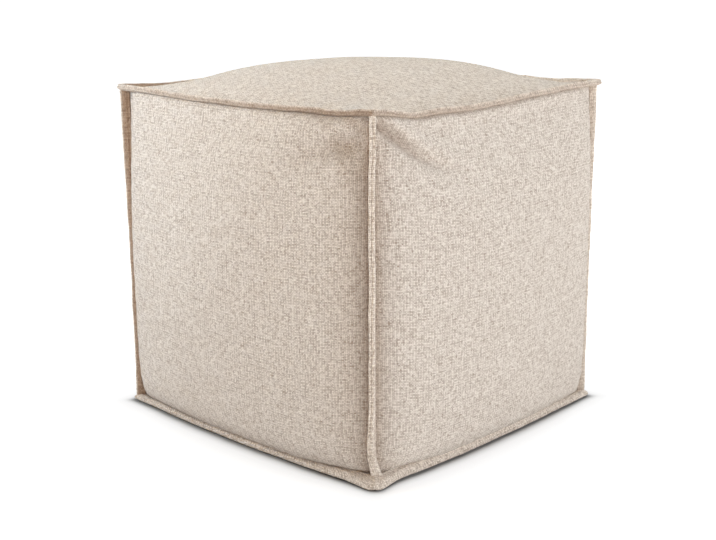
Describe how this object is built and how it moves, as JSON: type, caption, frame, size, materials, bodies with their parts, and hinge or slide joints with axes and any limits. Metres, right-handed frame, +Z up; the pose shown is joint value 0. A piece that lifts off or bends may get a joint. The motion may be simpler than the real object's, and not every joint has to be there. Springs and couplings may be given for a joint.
{
  "type": "cube pouf stool",
  "caption": "Soft filled cube pouf for sitting or resting feet on, with crowned panels and a flat sewn flange along every seam.",
  "frame": {"origin": "on the floor, under the middle of the pouf", "axes": "+Z up; +X along the wider pair of side panels, towards the right; -Y is the front"},
  "size_m": [0.5261, 0.5062, 0.4784],
  "materials": {
    "panel_cloth": "matt oatmeal melange plain weave with a slubby, linen-like yarn",
    "flange_cloth": "the same oatmeal melange plain weave, folded double and pressed flat"
  },
  "bodies": {
    "root": {"cushion": "panel_cloth", "rim_flange_front": "flange_cloth", "rim_flange_right": "flange_cloth", "rim_flange_back": "flange_cloth", "rim_flange_left": "flange_cloth", "base_flange_front": "flange_cloth", "base_flange_right": "flange_cloth", "base_flange_back": "flange_cloth", "base_flange_left": "flange_cloth", "upright_flange_frontLeft": "flange_cloth", "upright_flange_frontRight": "flange_cloth", "upright_flange_backRight": "flange_cloth", "upright_flange_backLeft": "flange_cloth"}
  },
  "joints": []
}
